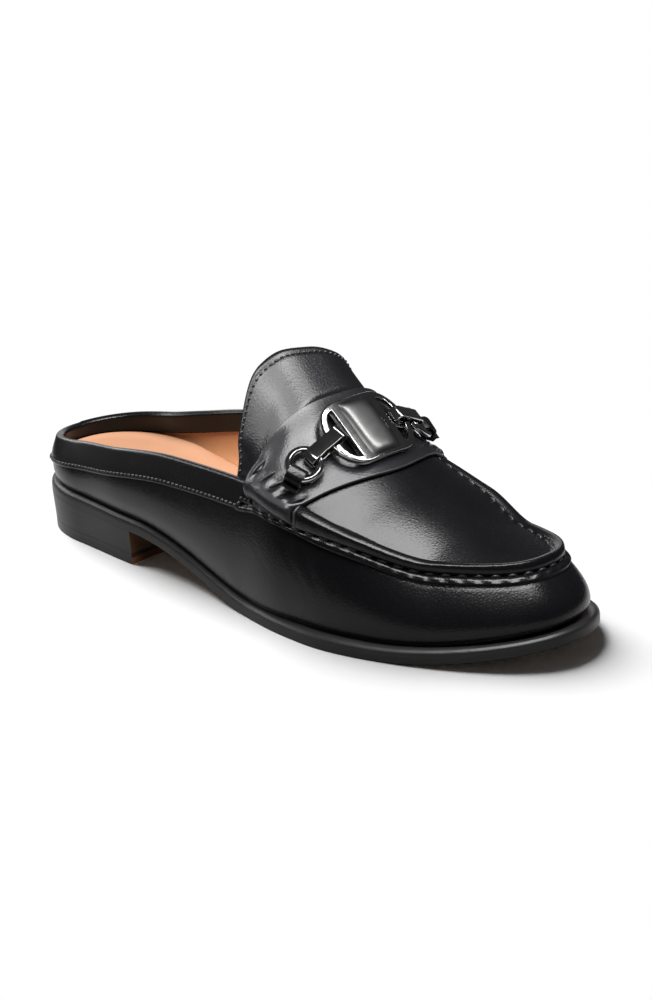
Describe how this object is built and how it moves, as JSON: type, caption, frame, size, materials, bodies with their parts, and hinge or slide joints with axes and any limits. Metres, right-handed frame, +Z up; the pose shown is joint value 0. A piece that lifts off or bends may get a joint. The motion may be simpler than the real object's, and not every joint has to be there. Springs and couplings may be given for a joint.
{
  "type": "horsebit mule",
  "caption": "Leather mule for the right foot with a low heel wall, moccasin apron, raised tongue, saddle strap and a plain metal bit, on a thin sole with a low stacked heel",
  "frame": {"origin": "middle of the outline in plan, on the floor under the tread and the heel", "axes": "+Z up, toe towards -Y, heel towards +Y, lateral side at -X, medial side at +X"},
  "size_m": [0.0918, 0.262, 0.0955],
  "materials": {
    "upper_leather": "black, polished, fine grain",
    "sole_edge": "black painted edge, satin",
    "heel_lift": "brown stacked leather, matte",
    "insole_leather": "tan, smooth, matte",
    "bit_metal": "dark polished metal"
  },
  "bodies": {
    "root": {"outsole": "sole_edge", "top_lift": "heel_lift", "heel_stack": "sole_edge", "insole": "insole_leather", "upper": "upper_leather", "collar_band": "upper_leather", "saddle_strap": "upper_leather", "tongue": "upper_leather", "ring_lateral": "bit_metal", "ring_medial": "bit_metal", "bit_centre": "bit_metal", "link_lateral": "bit_metal", "link_medial": "bit_metal", "tab_lateral": "upper_leather", "tab_medial": "upper_leather"}
  },
  "joints": []
}
